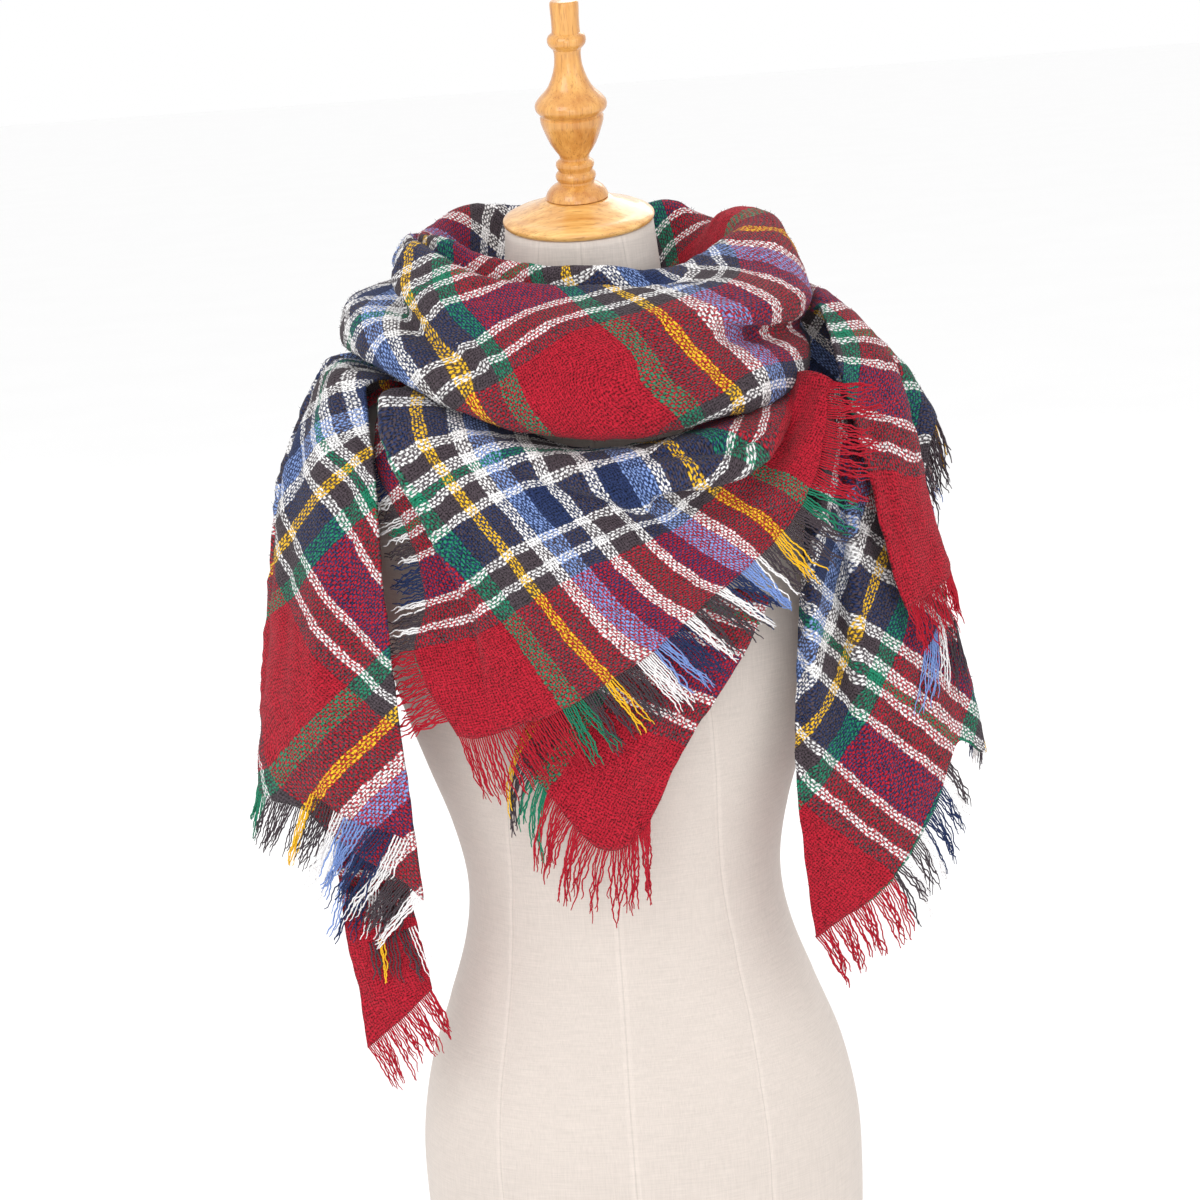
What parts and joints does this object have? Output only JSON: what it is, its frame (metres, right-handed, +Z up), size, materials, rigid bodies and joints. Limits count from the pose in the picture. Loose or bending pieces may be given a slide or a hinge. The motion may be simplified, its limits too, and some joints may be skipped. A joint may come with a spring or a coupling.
{
  "type": "blanket scarf on a limbless dress form",
  "caption": "Square tartan blanket scarf with fringe, folded to a triangle and wound round the neck of a linen dress form with a turned wooden finial.",
  "frame": {"origin": "centre of the dress form's flat base", "axes": "+Z up along the form, +X to the viewer's right, -Y to the front where the scarf's point hangs"},
  "size_m": [0.5645, 0.3515, 1.0622],
  "materials": {
    "tartan_cloth": "matte",
    "fringe_yarn": "matte",
    "linen": "matte",
    "varnished_wood": "satin"
  },
  "bodies": {
    "root": {"form_body": "linen", "form_cap": "varnished_wood", "form_finial": "varnished_wood", "cowl_front": "tartan_cloth", "cowl_nape": "tartan_cloth", "front_point": "tartan_cloth", "front_under": "tartan_cloth", "left_tail": "tartan_cloth", "left_under": "tartan_cloth", "right_shoulder": "tartan_cloth", "right_tail": "tartan_cloth", "fringe_front": "fringe_yarn", "fringe_front_side": "fringe_yarn", "fringe_front_under": "fringe_yarn", "fringe_left": "fringe_yarn", "fringe_left_back": "fringe_yarn", "fringe_left_under": "fringe_yarn", "fringe_right_strip": "fringe_yarn", "fringe_right_back": "fringe_yarn", "fringe_right": "fringe_yarn", "fringe_right_side": "fringe_yarn"}
  },
  "joints": []
}
